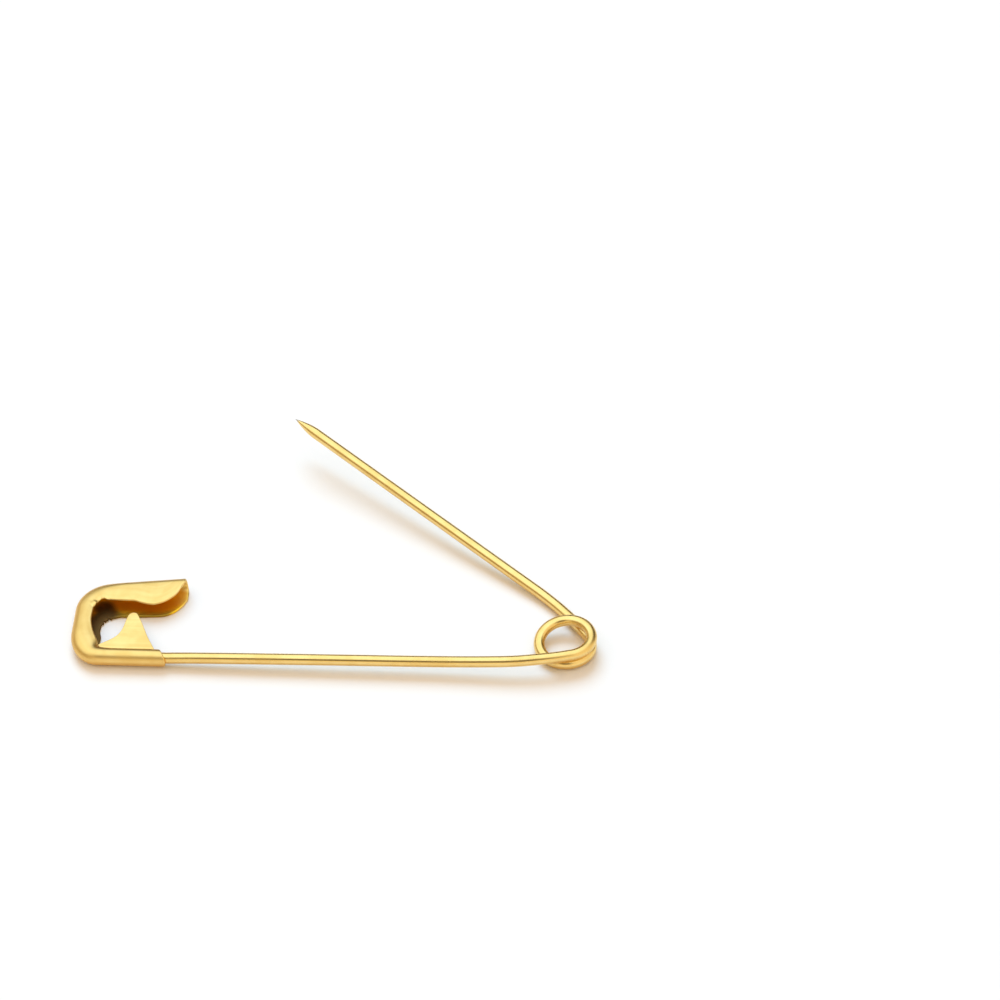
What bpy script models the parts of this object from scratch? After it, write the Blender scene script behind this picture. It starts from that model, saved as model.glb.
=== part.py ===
"""Open safety pin: one length of wire, coiled once and a third, and one folded sheet cap.

The pin lies on its back. +X runs from the cap to the coil, +Y towards the open needle, +Z up.
The origin is on the cap's flat back, under the leg that catches the needle.
"""

import math

import bpy
import numpy as np
from mathutils import Vector

MM = 0.001

# Overall sizes
PIN_LENGTH = 54.0 * MM
WIRE_DIAMETER = 1.15 * MM
SHEET = 0.27 * MM
FIT_GAP = 0.03 * MM

# Coil and the two arms that leave it
COIL_INNER_DIAMETER = 4.17 * MM
LAYER_GAP = 0.42 * MM
ARM_OFFSET = 0.95 * MM
NEEDLE_OFFSET = 1.2 * MM
LEAD_RADIUS = 28.0 * MM
LEVEL_TURN = math.radians(150)
OPEN_ANGLE = math.radians(40.2)

# Needle
NEEDLE_LENGTH = 42.5 * MM
NEEDLE_RISE = math.radians(4.9)
LEG_LENGTH = 2.2 * MM
POINT_LENGTH = 3.1 * MM
POINT_TIP_DIAMETER = 0.07 * MM
POINT_FULLNESS = 1.7

# Cap
CAP_LENGTH = 11.4 * MM
CAP_SPREAD = 8.9 * MM
CAP_TILT = math.radians(7.5)
CHANNEL_CLEARANCE = 0.105 * MM
NEEDLE_CORNER_RADIUS = 2.8 * MM
CRIMP_CORNER_RADIUS = 3.3 * MM
CRIMP_LENGTH = 10.3 * MM
CRIMP_SLANT = 0.4 * MM
CRIMP_CURL = math.radians(75)
WIRE_END_INSET = 0.4 * MM
ORIGIN_INSET = 1.6 * MM
ORIGIN_LEG_SHARE = 0.5

# Guard tongue
TONGUE_START = 3.05 * MM
TONGUE_SETBACK = 1.4 * MM
TONGUE_HEIGHT = 5.55 * MM

# Finishes: base colour and roughness
WIRE_GOLD = ((0.80, 0.58, 0.22), 0.28)
CAP_GOLD = ((0.83, 0.60, 0.23), 0.36)

# Counts. A wire's roundness is its curve's bevel resolution.
ARM_ROUNDNESS = 4
LEG_ROUNDNESS = 2
COIL_ROUNDNESS = 1
LOOP_POINTS = 24
LEAD_POINTS = 4
POINT_RINGS = 7
FOLD_STEPS = 10
LEAF_STEPS = 5
STATIONS_BETWEEN = 3

WIRE_RADIUS = WIRE_DIAMETER / 2
HALF_SHEET = SHEET / 2
COIL_RADIUS = (COIL_INNER_DIAMETER + WIRE_DIAMETER) / 2
LAYER_STEP = WIRE_DIAMETER + LAYER_GAP
COIL_X = PIN_LENGTH - COIL_RADIUS - WIRE_RADIUS
COIL_Y = COIL_RADIUS + ARM_OFFSET
FULL_TURN = 2 * math.pi
NEEDLE_TURN = FULL_TURN + math.pi - OPEN_ANGLE
FOLD_RADIUS = WIRE_RADIUS + CHANNEL_CLEARANCE + HALF_SHEET
CRIMP_RADIUS = WIRE_RADIUS + FIT_GAP + HALF_SHEET
CRIMP_HEIGHT = CRIMP_RADIUS + HALF_SHEET
CHANNEL_HEIGHT = FOLD_RADIUS + HALF_SHEET
TONGUE_WIDTH = CRIMP_LENGTH - TONGUE_SETBACK - TONGUE_START

# The cap's stations, from the mouth round to the crimp. Each row gives the part of the U path,
# the share of that part, and the front and the back leaf's edge as shares of cap length and spread.
NEEDLE_LEG, NEEDLE_CORNER, SIDE, CRIMP_CORNER, CRIMP_LEG = range(5)
EDGE_SHARES = (
    (NEEDLE_LEG, 0.00, 0.985, 1.130, 1.000, 1.045),
    (NEEDLE_LEG, 0.08, 0.943, 1.000, 0.957, 0.920),
    (NEEDLE_LEG, 0.21, 0.851, 0.865, 0.877, 0.803),
    (NEEDLE_LEG, 0.31, 0.776, 0.781, 0.798, 0.753),
    (NEEDLE_LEG, 0.41, 0.715, 0.747, 0.719, 0.742),
    (NEEDLE_LEG, 0.54, 0.618, 0.770, 0.623, 0.736),
    (NEEDLE_LEG, 0.65, 0.544, 0.809, 0.544, 0.730),
    (NEEDLE_LEG, 0.84, 0.417, 0.824, 0.439, 0.725),
    (NEEDLE_LEG, 1.00, 0.325, 0.829, 0.368, 0.697),
    (NEEDLE_CORNER, 0.34, 0.254, 0.820, 0.316, 0.669),
    (NEEDLE_CORNER, 0.67, 0.197, 0.764, 0.281, 0.629),
    (NEEDLE_CORNER, 1.00, 0.175, 0.674, 0.259, 0.562),
    (SIDE, 0.50, 0.175, 0.534, 0.250, 0.483),
    (SIDE, 1.00, 0.193, 0.371, 0.246, 0.360),
    (CRIMP_CORNER, 0.33, 0.224, 0.260, 0.242, 0.249),
)

# The stations where the cap closes round the fixed arm: the part and its share, the lip's depth
# as a share of the closed lip's, and the share of the closed curl.
CRIMP_SHARES = (
    (CRIMP_CORNER, 0.66, 1.70, 0.35),
    (CRIMP_CORNER, 0.84, 1.15, 0.80),
    (CRIMP_LEG, 0.00, 1.00, 1.00),
    (CRIMP_LEG, 1.00, 1.00, 1.00),
)

# The guard tongue's outline, as shares of its width and height, from its foot at the closed end
TONGUE_SHARES = (
    (0.21, 0.000), (0.10, 0.030), (0.00, 0.145), (0.09, 0.200), (0.18, 0.245), (0.25, 0.295),
    (0.31, 0.365), (0.35, 0.440), (0.38, 0.540), (0.40, 0.660), (0.415, 0.780), (0.430, 0.900),
    (0.455, 0.965), (0.500, 1.000), (0.550, 0.998), (0.595, 0.965), (0.620, 0.925), (1.00, 0.000),
)


def clear_scene():
    """Remove every object, so that the script can be run again."""
    for obj in list(bpy.data.objects):
        bpy.data.objects.remove(obj, do_unlink=True)


def make_material(name, colour, roughness):
    """Return a metal with the given colour and roughness."""
    material = bpy.data.materials.new(name)
    material.use_nodes = True
    shader = material.node_tree.nodes["Principled BSDF"]
    shader.inputs["Base Color"].default_value = (*colour, 1.0)
    shader.inputs["Roughness"].default_value = roughness
    shader.inputs["Metallic"].default_value = 1.0
    material.diffuse_color = (*colour, 1.0)
    return material


def smoothstep(share):
    """Ease from 0 to 1 with level ends."""
    share = np.clip(share, 0.0, 1.0)
    return share * share * (3.0 - 2.0 * share)


def through_points(knots, rows, places):
    """Return rows read along a curve through each knot's row that never swings past the knots."""
    step = np.diff(knots)[:, None]
    slope = np.diff(rows, axis=0) / step
    before, after = slope[:-1], slope[1:]
    same_way = before * after > 0.0
    inner = np.where(same_way, 2.0 * before * after / np.where(same_way, before + after, 1.0), 0.0)
    slopes = np.concatenate([slope[:1], inner, slope[-1:]])
    index = np.clip(np.searchsorted(knots, places, side="right") - 1, 0, len(knots) - 2)
    u = (places - knots[index])[:, None] / step[index]
    start, end = rows[index], rows[index + 1]
    leave, arrive = slopes[index] * step[index], slopes[index + 1] * step[index]
    return (start + (end - start) * smoothstep(u)
            + leave * u * (1.0 - u) ** 2 - arrive * u * u * (1.0 - u))


def facing(turn):
    """Return the plan direction of the wire after it has turned by this angle."""
    return np.stack([np.cos(turn), np.sin(turn)], axis=-1)


def outward(turn):
    """Return the plan direction that points away from the bend's centre at this turn."""
    return np.stack([np.sin(turn), -np.cos(turn)], axis=-1)


def lead_turn(offset, run):
    """Return how far a lead turns from an arm set off from the coil, with a straight run there."""
    reach = LEAD_RADIUS - COIL_RADIUS
    return math.acos((reach - offset) / math.hypot(reach, run)) - math.atan2(run, reach)


COIL_CENTRE = np.array([COIL_X, COIL_Y])
LEAD_IN_TURN = lead_turn(ARM_OFFSET, 0.0)
LEAD_OUT_TURN = NEEDLE_TURN - lead_turn(NEEDLE_OFFSET, WIRE_DIAMETER)
LEAD_IN_X = COIL_X - (LEAD_RADIUS - COIL_RADIUS) * math.sin(LEAD_IN_TURN)
COIL_EXIT = COIL_CENTRE + COIL_RADIUS * outward(LEAD_OUT_TURN)
LEG_START = COIL_EXIT + WIRE_DIAMETER * facing(LEAD_OUT_TURN)
LEAD_OUT_CENTRE = LEG_START - LEAD_RADIUS * outward(LEAD_OUT_TURN)
PIVOT_TURN = LEAD_OUT_TURN + LEG_LENGTH / LEAD_RADIUS
PIVOT = LEAD_OUT_CENTRE + LEAD_RADIUS * outward(PIVOT_TURN)
NEEDLE_FOOT = COIL_CENTRE + (COIL_RADIUS + NEEDLE_OFFSET) * outward(NEEDLE_TURN)
NEEDLE_TIP = NEEDLE_FOOT + NEEDLE_LENGTH * facing(NEEDLE_TURN)


def wire_height(turn):
    """Return the coil's centre height: level, then one layer down, then level again."""
    eased = smoothstep((turn - LEVEL_TURN) / (FULL_TURN - LEVEL_TURN))
    return WIRE_RADIUS + LAYER_STEP * (1.0 - eased)


def arm_height(x):
    """Return the fixed arm's centre height, which climbs from the crimp to the coil's top."""
    share = (x - CRIMP_LENGTH) / (LEAD_IN_X - CRIMP_LENGTH)
    return CRIMP_HEIGHT + (WIRE_RADIUS + LAYER_STEP - CRIMP_HEIGHT) * np.clip(share, 0.0, 1.0)


def coil_points():
    """Return the coil's centre line: arm, lead, loop and a third, and a straight end."""
    lead = np.linspace(0.0, LEAD_IN_TURN, LEAD_POINTS)
    steps = round((LEAD_OUT_TURN - LEAD_IN_TURN) / FULL_TURN * LOOP_POINTS)
    loop = np.linspace(LEAD_IN_TURN, LEAD_OUT_TURN, steps + 1)[1:]
    start_x = LEAD_IN_X - WIRE_DIAMETER
    start = np.array([[start_x, 0.0, arm_height(start_x)]])
    lead_plan = np.array([LEAD_IN_X, LEAD_RADIUS]) + LEAD_RADIUS * outward(lead)
    loop_plan = COIL_CENTRE + COIL_RADIUS * outward(loop)
    turns = np.concatenate([lead, loop])
    body = np.column_stack([np.concatenate([lead_plan, loop_plan]), wire_height(turns)])
    end_plan = LEG_START - FIT_GAP * facing(LEAD_OUT_TURN)
    end = np.array([[*end_plan, WIRE_RADIUS]])
    return np.concatenate([start, body, end])


def least_gap(points):
    """Return the clear gap between stretches of the tube that are half a turn or more apart."""
    fine = np.linspace(0.0, 1.0, LOOP_POINTS, endpoint=False)[:, None]
    dense = np.concatenate([a + (b - a) * fine for a, b in zip(points[:-1], points[1:])])
    steps = np.linalg.norm(np.diff(dense, axis=0), axis=1)
    along = np.concatenate([[0.0], np.cumsum(steps)])
    apart = np.abs(along[:, None] - along[None, :]) > math.pi * COIL_RADIUS
    distance = np.linalg.norm(dense[:, None, :] - dense[None, :, :], axis=2)
    return distance[apart].min() - WIRE_DIAMETER


def leg_points():
    """Return the short leg between the coil and the needle's root."""
    turns = np.linspace(LEAD_OUT_TURN, PIVOT_TURN, LEAD_POINTS)
    plan = LEAD_OUT_CENTRE + LEAD_RADIUS * outward(turns)
    return np.column_stack([plan, np.full(len(turns), WIRE_RADIUS)])


def needle_points():
    """Return the needle's centre line and radii, from its root to its ground point."""
    first_turn = PIVOT_TURN + FIT_GAP / LEAD_RADIUS
    turns = np.linspace(first_turn, NEEDLE_TURN, LEAD_POINTS)
    lead = LEAD_OUT_CENTRE + LEAD_RADIUS * outward(turns)
    along = facing(NEEDLE_TURN)
    share = np.linspace(0.0, 1.0, POINT_RINGS)
    point = NEEDLE_TIP - POINT_LENGTH * (1.0 - share)[:, None] * along
    plan = np.concatenate([lead, point])
    height = WIRE_RADIUS + math.tan(NEEDLE_RISE) * ((plan - PIVOT) @ along)
    tip_share = POINT_TIP_DIAMETER / WIRE_DIAMETER
    ogive = tip_share + (1.0 - tip_share) * (1.0 - share ** POINT_FULLNESS)
    radii = np.concatenate([np.ones(len(lead)), ogive])
    return np.column_stack([plan, height]), radii


def cap_corners():
    """Return the U path's needle leg end, its two bend centres and the five parts' lengths."""
    side_x = CHANNEL_HEIGHT
    bend_x = side_x + NEEDLE_CORNER_RADIUS
    leg_x = bend_x - NEEDLE_CORNER_RADIUS * math.sin(CAP_TILT)
    leg_y = CAP_SPREAD + (leg_x - side_x) * math.tan(CAP_TILT)
    needle_bend = np.array([bend_x, leg_y - NEEDLE_CORNER_RADIUS * math.cos(CAP_TILT)])
    crimp_bend = np.array([side_x + CRIMP_CORNER_RADIUS, CRIMP_CORNER_RADIUS])
    lengths = np.array([
        (CAP_LENGTH - leg_x) / math.cos(CAP_TILT),
        NEEDLE_CORNER_RADIUS * (math.pi / 2 - CAP_TILT),
        needle_bend[1] - crimp_bend[1],
        CRIMP_CORNER_RADIUS * math.pi / 2,
        CRIMP_LENGTH - crimp_bend[0],
    ])
    return np.array([leg_x, leg_y]), needle_bend, crimp_bend, lengths


def cap_distance(part, share):
    """Return how far along the U path a share of one of its parts lies."""
    lengths = cap_corners()[3]
    return lengths[:part].sum() + lengths[part] * share


def cap_path(distance):
    """Return the U path's point at this distance from the mouth, and the way out of the cap."""
    leg_end, needle_bend, crimp_bend, lengths = cap_corners()
    starts = np.concatenate([[0.0], np.cumsum(lengths)[:-1]])
    part = max(int(np.searchsorted(starts, distance, side="right")) - 1, 0)
    within = distance - starts[part]
    if part == NEEDLE_LEG:
        along = np.array([math.cos(CAP_TILT), math.sin(CAP_TILT)])
        return leg_end + along * (lengths[0] - within), np.array([-along[1], along[0]])
    if part == NEEDLE_CORNER:
        angle = math.pi / 2 + CAP_TILT + within / NEEDLE_CORNER_RADIUS
        out = np.array([math.cos(angle), math.sin(angle)])
        return needle_bend + NEEDLE_CORNER_RADIUS * out, out
    if part == SIDE:
        return np.array([CHANNEL_HEIGHT, needle_bend[1] - within]), np.array([-1.0, 0.0])
    if part == CRIMP_CORNER:
        angle = math.pi + within / CRIMP_CORNER_RADIUS
        out = np.array([math.cos(angle), math.sin(angle)])
        return crimp_bend + CRIMP_CORNER_RADIUS * out, out
    return np.array([crimp_bend[0] + within, 0.0]), np.array([0.0, -1.0])


def cap_stations():
    """Return each station's path point, direction out, leaf edges and how far it has closed."""
    lip = CRIMP_RADIUS * math.sin(CRIMP_CURL)
    knots, edges = [], []
    for part, share, front_x, front_y, back_x, back_y in EDGE_SHARES:
        knots.append(cap_distance(part, share))
        edges.append((front_x * CAP_LENGTH, front_y * CAP_SPREAD,
                      back_x * CAP_LENGTH, back_y * CAP_SPREAD, 0.0))
    for part, share, lip_share, closed in CRIMP_SHARES:
        knots.append(cap_distance(part, share))
        point, out = cap_path(knots[-1])
        edge = point - out * lip * lip_share
        edges.append((*edge, *edge, closed))
    knots, edges = np.array(knots), np.array(edges)
    shares = np.arange(STATIONS_BETWEEN) / STATIONS_BETWEEN
    places = np.append((knots[:-1, None] + np.diff(knots)[:, None] * shares).ravel(), knots[-1])
    path = np.array([np.concatenate(cap_path(place)) for place in places])
    return np.column_stack([path, through_points(knots, edges, places)])


def leaf(axis, edge, radius, curl, side):
    """Return a leaf's points from the fold to its edge: flat, or curled round the wire."""
    share = np.linspace(0.0, 1.0, LEAF_STEPS + 1)[1:]
    reach = edge - axis
    if curl > 0.0:
        along = np.sin(curl * share) / math.sin(curl)
        drop = np.linalg.norm(reach) * (1.0 - np.cos(curl * share)) / math.sin(curl)
    else:
        along, drop = share, np.zeros(LEAF_STEPS)
    plan = axis + reach * along[:, None]
    centre = radius + HALF_SHEET
    return np.column_stack([plan, centre + side * (radius - drop)])


def cap_section(row):
    """Return one section of the cap's sheet, from the front edge round the fold to the back."""
    axis, out, front, back, closed = row[0:2], row[2:4], row[4:6], row[6:8], row[8]
    radius = FOLD_RADIUS + (CRIMP_RADIUS - FOLD_RADIUS) * closed
    curl = CRIMP_CURL * closed
    angle = np.linspace(math.pi / 2, -math.pi / 2, FOLD_STEPS + 1)
    plan = axis + out * (radius * np.cos(angle))[:, None]
    height = radius + HALF_SHEET + radius * np.sin(angle)
    fold = np.column_stack([plan, height])
    front_leaf = leaf(axis, front, radius, curl, 1.0)[::-1]
    back_leaf = leaf(axis, back, radius, curl, -1.0)
    return np.concatenate([front_leaf, fold, back_leaf])


def cap_grid():
    """Return the cap's sheet as a grid of points, with the crimp's end cut at a slant."""
    grid = np.array([cap_section(row) for row in cap_stations()])
    start_x = cap_corners()[2][0]
    share = np.clip((grid[..., 0] - start_x) / (CRIMP_LENGTH - start_x), 0.0, 1.0)
    across = grid[..., 1] / CRIMP_RADIUS
    slant = share * CRIMP_SLANT * (1.0 + across)
    grid[..., 0] -= np.where(across < 2.0, slant, 0.0)
    return grid


def origin_point():
    """Return the plan place of the origin: on the cap's back, under its needle leg."""
    point, out = cap_path(cap_distance(NEEDLE_LEG, ORIGIN_LEG_SHARE))
    return point - ORIGIN_INSET * out


def place(points):
    """Move points from the drawing's corner to the part's own origin."""
    return np.asarray(points) - np.append(origin_point(), 0.0)


def add_wire(name, points, radii, roundness, material, collection):
    """Add a round wire along the points as a bevelled curve with closed ends."""
    curve = bpy.data.curves.new(name, "CURVE")
    curve.dimensions = "3D"
    curve.bevel_depth = WIRE_RADIUS
    curve.bevel_resolution = roundness
    curve.use_fill_caps = True
    spline = curve.splines.new("POLY")
    spline.points.add(len(points) - 1)
    for point, place_xyz, radius in zip(spline.points, points, radii):
        point.co = (*place_xyz, 1.0)
        point.radius = radius
    spline.use_smooth = True
    curve.materials.append(material)
    obj = bpy.data.objects.new(name, curve)
    collection.objects.link(obj)
    return obj


def add_wire_at(name, pivot, points, radii, roundness, material, collection):
    """Add a wire whose object has its origin at the pivot that it turns about."""
    obj = add_wire(name, points - pivot, radii, roundness, material, collection)
    obj.location = Vector(pivot)
    return obj


def add_cap(material, collection):
    """Add the folded sheet cap as an open surface with a wall of one sheet."""
    grid = place(cap_grid())
    rows, columns = grid.shape[:2]
    index = np.arange(rows * columns).reshape(rows, columns)
    faces = np.stack([index[:-1, :-1], index[:-1, 1:], index[1:, 1:], index[1:, :-1]], axis=-1)
    mesh = bpy.data.meshes.new("cap")
    mesh.from_pydata(grid.reshape(-1, 3).tolist(), [], faces.reshape(-1, 4).tolist())
    mesh.shade_smooth()
    mesh.materials.append(material)
    obj = bpy.data.objects.new("cap", mesh)
    collection.objects.link(obj)
    wall = obj.modifiers.new("sheet", "SOLIDIFY")
    wall.thickness = SHEET
    wall.offset = 0.0
    return obj


def add_tongue(material, collection):
    """Add the guard tongue: a flat plate that stands from the crimp into the cap's window."""
    shares = np.array(TONGUE_SHARES)
    foot = CRIMP_HEIGHT + FIT_GAP
    plan = np.column_stack([
        TONGUE_START + shares[:, 0] * TONGUE_WIDTH,
        foot + shares[:, 1] * TONGUE_HEIGHT,
    ])
    plan = plan - origin_point()
    curve = bpy.data.curves.new("guard_tongue", "CURVE")
    curve.dimensions = "2D"
    curve.fill_mode = "BOTH"
    curve.extrude = HALF_SHEET
    spline = curve.splines.new("POLY")
    spline.points.add(len(plan) - 1)
    for point, (x, y) in zip(spline.points, plan):
        point.co = (x, y, 0.0, 1.0)
    spline.use_cyclic_u = True
    curve.materials.append(material)
    obj = bpy.data.objects.new("guard_tongue", curve)
    obj.location = (0.0, 0.0, CHANNEL_HEIGHT)
    collection.objects.link(obj)
    return obj


def add_fixed_arm(material, collection):
    """Add the fixed arm, from its end inside the crimp to the coil."""
    start_x = cap_corners()[2][0] + WIRE_END_INSET
    stations = [start_x, CRIMP_LENGTH, LEAD_IN_X - WIRE_DIAMETER - FIT_GAP]
    points = place([(x, 0.0, arm_height(x)) for x in stations])
    return add_wire("fixed_arm", points, np.ones(len(points)), ARM_ROUNDNESS, material, collection)


def build():
    """Build every piece of the pin."""
    clear_scene()
    pin = bpy.data.collections.new("safety_pin")
    bpy.context.scene.collection.children.link(pin)
    wire_gold = make_material("wire_gold", *WIRE_GOLD)
    cap_gold = make_material("cap_gold", *CAP_GOLD)

    add_cap(cap_gold, pin)
    add_tongue(cap_gold, pin)
    add_fixed_arm(wire_gold, pin)

    axis = place([[COIL_X, COIL_Y, 0.0]])[0]
    coil = coil_points()
    print(f"least gap of the coil to itself: {least_gap(coil) / MM:.3f} mm")
    add_wire_at("spring_coil", axis, place(coil), np.ones(len(coil)), COIL_ROUNDNESS, wire_gold, pin)

    leg = place(leg_points())
    leg_object = add_wire_at("spring_leg", axis, leg, np.ones(len(leg)), LEG_ROUNDNESS, wire_gold, pin)

    root = place([[*PIVOT, WIRE_RADIUS]])[0]
    needle, radii = needle_points()
    needle = place(needle)
    needle_object = add_wire_at("needle_arm", root, needle, radii, ARM_ROUNDNESS, wire_gold, pin)
    needle_object.parent = leg_object
    needle_object.matrix_parent_inverse = leg_object.matrix_basis.inverted()


build()
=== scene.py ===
"""The looks of an open safety pin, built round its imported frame.

The pin lies on its back on a white table. Lengths are in metres, and a size that is written with
MM is given in millimetres. The wire and the cap are drawn in the part's own drawing plane, whose
corner is the cap's left end on the fixed arm's line, and then moved to the frame by Drawing.
"""

import logging
import math
from dataclasses import dataclass
from enum import Enum
from typing import Sequence

import bpy
import numpy as np
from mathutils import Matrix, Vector
from numpy.typing import NDArray


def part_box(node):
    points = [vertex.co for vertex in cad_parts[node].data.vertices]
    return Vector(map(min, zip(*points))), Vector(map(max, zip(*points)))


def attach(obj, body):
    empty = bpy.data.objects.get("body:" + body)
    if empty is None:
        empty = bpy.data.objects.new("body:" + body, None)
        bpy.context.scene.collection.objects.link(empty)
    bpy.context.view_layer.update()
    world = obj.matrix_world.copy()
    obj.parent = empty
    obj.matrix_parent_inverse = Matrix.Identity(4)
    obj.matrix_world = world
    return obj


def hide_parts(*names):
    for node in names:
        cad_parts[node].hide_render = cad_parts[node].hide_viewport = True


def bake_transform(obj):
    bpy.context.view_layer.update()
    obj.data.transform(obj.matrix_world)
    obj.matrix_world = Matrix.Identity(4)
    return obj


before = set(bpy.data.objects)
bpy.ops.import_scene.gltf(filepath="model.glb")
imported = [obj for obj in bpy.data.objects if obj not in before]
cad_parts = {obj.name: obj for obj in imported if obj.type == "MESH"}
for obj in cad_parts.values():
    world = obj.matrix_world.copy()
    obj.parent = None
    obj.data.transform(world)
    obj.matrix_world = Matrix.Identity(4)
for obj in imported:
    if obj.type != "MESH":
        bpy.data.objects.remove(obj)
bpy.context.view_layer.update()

Array = NDArray[np.float64]
Indices = NDArray[np.int64]
Rgb = tuple[float, float, float]
Socket = bpy.types.NodeSocket

MM = 0.001
UP = np.array([0.0, 0.0, 1.0])
LOG = logging.getLogger("safety_pin")


def smoothstep(share: Array) -> Array:
    """Ease from 0 to 1 with level ends: 3 s^2 - 2 s^3 on the clipped share."""
    share = np.clip(share, 0.0, 1.0)
    return share * share * (3.0 - 2.0 * share)


def unit(vectors: Array) -> Array:
    """Return the vectors at length one."""
    return vectors / np.maximum(np.linalg.norm(vectors, axis=-1, keepdims=True), 1e-12)


def facing(turn: Array) -> Array:
    """Return the plan direction of a path that has turned left by this angle from +X."""
    return np.stack([np.cos(turn), np.sin(turn)], axis=-1)


def outward(turn: Array) -> Array:
    """Return the plan direction away from the bend's centre at this turn."""
    return np.stack([np.sin(turn), -np.cos(turn)], axis=-1)


def through_points(knots: Array, rows: Array, places: Array) -> Array:
    """Read rows along a monotone cubic curve through each knot's row.

    Args:
        knots: Rising places of the rows.
        rows: One row of values for each knot.
        places: Where to read.

    Returns:
        One row of values for each place, which never swings past its two knots.
    """
    step = np.diff(knots)[:, None]
    slope = np.diff(rows, axis=0) / step
    before, after = slope[:-1], slope[1:]
    same_way = before * after > 0.0
    inner = np.where(same_way, 2.0 * before * after / np.where(same_way, before + after, 1.0), 0.0)
    slopes = np.concatenate([slope[:1], inner, slope[-1:]])
    index = np.clip(np.searchsorted(knots, places, side="right") - 1, 0, len(knots) - 2)
    u = (places - knots[index])[:, None] / step[index]
    start, end = rows[index], rows[index + 1]
    leave, arrive = slopes[index] * step[index], slopes[index + 1] * step[index]
    return (start + (end - start) * smoothstep(u)
            + leave * u * (1.0 - u) ** 2 - arrive * u * u * (1.0 - u))


@dataclass(frozen=True)
class Ripple:
    """A smooth uneven line: a sum of sines of unlike length, about one high before its height."""

    seed: int
    wavelength: float
    height: float = 1.0
    waves: int = 5
    unlikeness: tuple[float, float] = (0.55, 1.9)

    def read(self, place: Array) -> Array:
        """Add up the sines, whose lengths and phases are drawn from the seed.

        Args:
            place: Where to read, in metres.

        Returns:
            The line at each place, before its height is applied.
        """
        draw = np.random.default_rng(self.seed)
        stretch = draw.uniform(*self.unlikeness, self.waves)
        phase = draw.uniform(0.0, 2.0 * math.pi, self.waves)
        angle = np.asarray(place)[..., None] * (2.0 * math.pi / self.wavelength) * stretch + phase
        return np.sin(angle).sum(axis=-1) / math.sqrt(self.waves / 2.0)


def with_height(plan: Array, height: Array) -> Array:
    """Return points in space from points in plan and their heights."""
    return np.concatenate([plan, height[..., None]], axis=-1)


def make_object(name: str, vertices: Array, faces: Sequence[Indices], sharp: float,
                values: dict[str, Array]) -> bpy.types.Object:
    """Make a smooth mesh object at the origin from whole arrays.

    Args:
        name: The object's name.
        vertices: Its vertices, one row each.
        faces: Arrays of faces, each with its own number of corners.
        sharp: The angle past which an edge stays sharp, in radians.
        values: Point attributes by name: one number or one vector for each vertex.

    Returns:
        The new object, linked to the scene.
    """
    mesh = bpy.data.meshes.new(name)
    listed = [row for block in faces for row in block.tolist()]
    mesh.from_pydata(vertices.tolist(), [], listed)
    for key, value in values.items():
        kind, slot = ("FLOAT", "value") if value.ndim == 1 else ("FLOAT_VECTOR", "vector")
        attribute = mesh.attributes.new(key, kind, "POINT")
        attribute.data.foreach_set(slot, value.astype(np.float32).ravel())
    mesh.shade_smooth()
    mesh.set_sharp_from_angle(angle=sharp)
    mesh.update()
    obj = bpy.data.objects.new(name, mesh)
    bpy.context.scene.collection.objects.link(obj)
    return obj


def grid_faces(index: Indices) -> Indices:
    """Return the quads of a grid of vertex numbers, facing along rows cross columns."""
    quads = np.stack([index[:-1, :-1], index[1:, :-1], index[1:, 1:], index[:-1, 1:]], axis=-1)
    return quads.reshape(-1, 4)


def tube_faces(rings: int, sides: int) -> list[Indices]:
    """Return the faces of a tube of rings whose ends are closed to a pole by a fan.

    Args:
        rings: How many rings there are.
        sides: How many vertices each ring has. The two poles are numbered after the last ring.

    Returns:
        The skin's quads, and the triangles of the first and the last end, all facing outwards.
    """
    pole = rings * sides
    index = np.arange(pole).reshape(rings, sides)
    index = np.column_stack([index, index[:, :1]])
    first, last = index[0], index[-1]
    start = np.stack([first[:-1], first[1:], np.full(sides, pole)], axis=-1)
    end = np.stack([last[1:], last[:-1], np.full(sides, pole + 1)], axis=-1)
    return [grid_faces(index), start, end]


@dataclass(frozen=True)
class Drawing:
    """Where the drawing plane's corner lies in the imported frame."""

    left: float
    arm_line: float

    @classmethod
    def from_frame(cls) -> "Drawing":
        """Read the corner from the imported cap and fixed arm.

        Returns:
            The drawing, set on the cap's left end and the fixed arm's middle line.
        """
        cap_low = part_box("cap")[0]
        arm_low, arm_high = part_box("fixed_arm")
        return cls(cap_low.x, (arm_low.y + arm_high.y) / 2)

    def place(self, points: Array) -> Array:
        """Move points from the drawing to the frame."""
        return points + np.array([self.left, self.arm_line, 0.0])


class GrainFollows(Enum):
    """What the drawn lines of a finish run along: the flat plate, or the metal as it was bent."""

    PLATE = "object"
    BEND = "unbent"


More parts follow.
